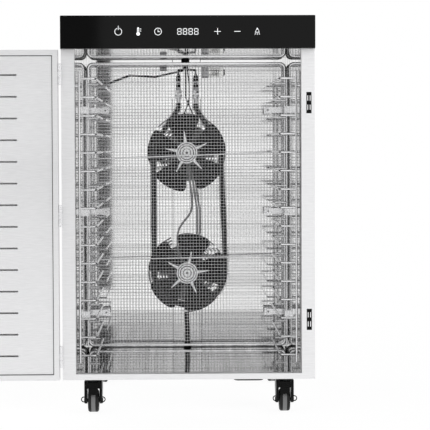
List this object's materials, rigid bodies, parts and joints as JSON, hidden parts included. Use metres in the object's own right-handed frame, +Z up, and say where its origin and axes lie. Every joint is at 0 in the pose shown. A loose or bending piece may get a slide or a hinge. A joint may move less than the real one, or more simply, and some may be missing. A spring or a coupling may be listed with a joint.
{
  "type": "cabinet food dehydrator",
  "caption": "Tall stainless steel cabinet food dehydrator on casters, with a side-hinged vented door, wire tray racks, two rear fans, a heater loop and a touch control panel.",
  "frame": {"origin": "on the floor, under the centre of the cabinet", "axes": "+Z up, -Y towards the front of the cabinet, +X to the right seen from the front"},
  "size_m": [0.884, 0.5422, 0.692],
  "materials": {
    "brushed_steel": "brushed",
    "chamber_steel": "polished",
    "bright_wire": "polished",
    "bright_fitting": "satin",
    "black_plastic": "satin",
    "black_glass": "gloss",
    "white_graphics": "matte",
    "green_board": "satin",
    "cast_aluminium": "cast",
    "black_finned_steel": "oxidised",
    "ceramic": "satin",
    "lamp_glass": "gloss",
    "phenolic": "matte",
    "black_rubber": "satin",
    "grey_rubber": "satin",
    "grey_tread": "satin"
  },
  "bodies": {
    "cabinet": {"base_plate": "brushed_steel", "cable_glands": "black_plastic", "caster_plates": "bright_fitting", "catch_poles": "bright_fitting", "chamber_ceiling": "chamber_steel", "chamber_floor": "chamber_steel", "chamber_rear_wall": "chamber_steel", "chamber_screws": "bright_fitting", "chamber_side_walls": "chamber_steel", "circuit_boards": "green_board", "control_glass": "black_glass", "control_housing": "black_plastic", "fan_motors": "cast_aluminium", "front_sill": "brushed_steel", "front_stiles": "brushed_steel", "guard_clamps": "bright_wire", "guard_frame": "bright_wire", "guard_wires": "bright_wire", "heater_terminals": "bright_fitting", "heater_tube": "black_finned_steel", "hinge_frame_leaves": "bright_fitting", "hinge_pins": "bright_fitting", "lamp_bulb": "lamp_glass", "lamp_holder": "ceramic", "left_side_panel": "brushed_steel", "limit_thermostat": "phenolic", "magnetic_catches": "black_plastic", "motor_leads": "grey_rubber", "mounting_channel": "chamber_steel", "panel_graphics": "white_graphics", "power_inlet": "black_plastic", "rack_brackets": "bright_wire", "rack_left": "bright_wire", "rack_right": "bright_wire", "rear_cover": "brushed_steel", "right_side_panel": "brushed_steel", "supply_leads": "black_rubber", "top_cover": "brushed_steel", "underside_tub": "black_plastic"},
    "door": {"door_skin": "brushed_steel", "door_inner_panel": "brushed_steel", "door_strikes": "bright_fitting", "door_handle": "brushed_steel", "hinge_door_leaves": "bright_fitting"},
    "upper_fan": {"upper_fan_shaft": "bright_fitting", "upper_fan_blades": "black_plastic", "upper_fan_spider": "bright_fitting"},
    "lower_fan": {"lower_fan_shaft": "bright_fitting", "lower_fan_blades": "black_plastic", "lower_fan_spider": "bright_fitting"},
    "front_left_swivel": {"front_left_caster_fork": "black_plastic"},
    "front_left_wheel": {"front_left_caster_wheel": "grey_tread"},
    "front_right_swivel": {"front_right_caster_fork": "black_plastic"},
    "front_right_wheel": {"front_right_caster_wheel": "grey_tread"},
    "rear_left_swivel": {"rear_left_caster_fork": "black_plastic"},
    "rear_left_wheel": {"rear_left_caster_wheel": "grey_tread"},
    "rear_right_swivel": {"rear_right_caster_fork": "black_plastic"},
    "rear_right_wheel": {"rear_right_caster_wheel": "grey_tread"},
    "front_left_pedal": {"front_left_brake_pedal": "black_plastic"},
    "front_right_pedal": {"front_right_brake_pedal": "black_plastic"}
  },
  "joints": [
    {"name": "door_hinge", "type": "hinge", "parent": "cabinet", "child": "door", "pos_m": [-0.222, -0.263, 0.347], "axis": [0, 0, 1], "range_deg": [0, 180]},
    {"name": "upper_fan_spin", "type": "hinge", "parent": "cabinet", "child": "upper_fan", "pos_m": [0, 0.1933, 0.454], "axis": [0, 1, 0], "continuous": true},
    {"name": "lower_fan_spin", "type": "hinge", "parent": "cabinet", "child": "lower_fan", "pos_m": [0, 0.1933, 0.2165], "axis": [0, 1, 0], "continuous": true},
    {"name": "front_left_caster_swivel", "type": "hinge", "parent": "cabinet", "child": "front_left_swivel", "pos_m": [-0.168, -0.215, 0.05], "axis": [0, 0, 1], "continuous": true},
    {"name": "front_left_wheel_spin", "type": "hinge", "parent": "front_left_swivel", "child": "front_left_wheel", "pos_m": [-0.168, -0.227, 0.02], "axis": [1, 0, 0], "continuous": true},
    {"name": "front_right_caster_swivel", "type": "hinge", "parent": "cabinet", "child": "front_right_swivel", "pos_m": [0.168, -0.215, 0.05], "axis": [0, 0, 1], "continuous": true},
    {"name": "front_right_wheel_spin", "type": "hinge", "parent": "front_right_swivel", "child": "front_right_wheel", "pos_m": [0.168, -0.227, 0.02], "axis": [1, 0, 0], "continuous": true},
    {"name": "rear_left_caster_swivel", "type": "hinge", "parent": "cabinet", "child": "rear_left_swivel", "pos_m": [-0.168, 0.21, 0.05], "axis": [0, 0, 1], "continuous": true},
    {"name": "rear_left_wheel_spin", "type": "hinge", "parent": "rear_left_swivel", "child": "rear_left_wheel", "pos_m": [-0.168, 0.198, 0.02], "axis": [1, 0, 0], "continuous": true},
    {"name": "rear_right_caster_swivel", "type": "hinge", "parent": "cabinet", "child": "rear_right_swivel", "pos_m": [0.168, 0.21, 0.05], "axis": [0, 0, 1], "continuous": true},
    {"name": "rear_right_wheel_spin", "type": "hinge", "parent": "rear_right_swivel", "child": "rear_right_wheel", "pos_m": [0.168, 0.198, 0.02], "axis": [1, 0, 0], "continuous": true},
    {"name": "front_left_brake_press", "type": "hinge", "parent": "front_left_swivel", "child": "front_left_pedal", "pos_m": [-0.168, -0.2488, 0.0528], "axis": [-1, 0, 0], "range_deg": [0, 14]},
    {"name": "front_right_brake_press", "type": "hinge", "parent": "front_right_swivel", "child": "front_right_pedal", "pos_m": [0.168, -0.2488, 0.0528], "axis": [-1, 0, 0], "range_deg": [0, 14]}
  ]
}
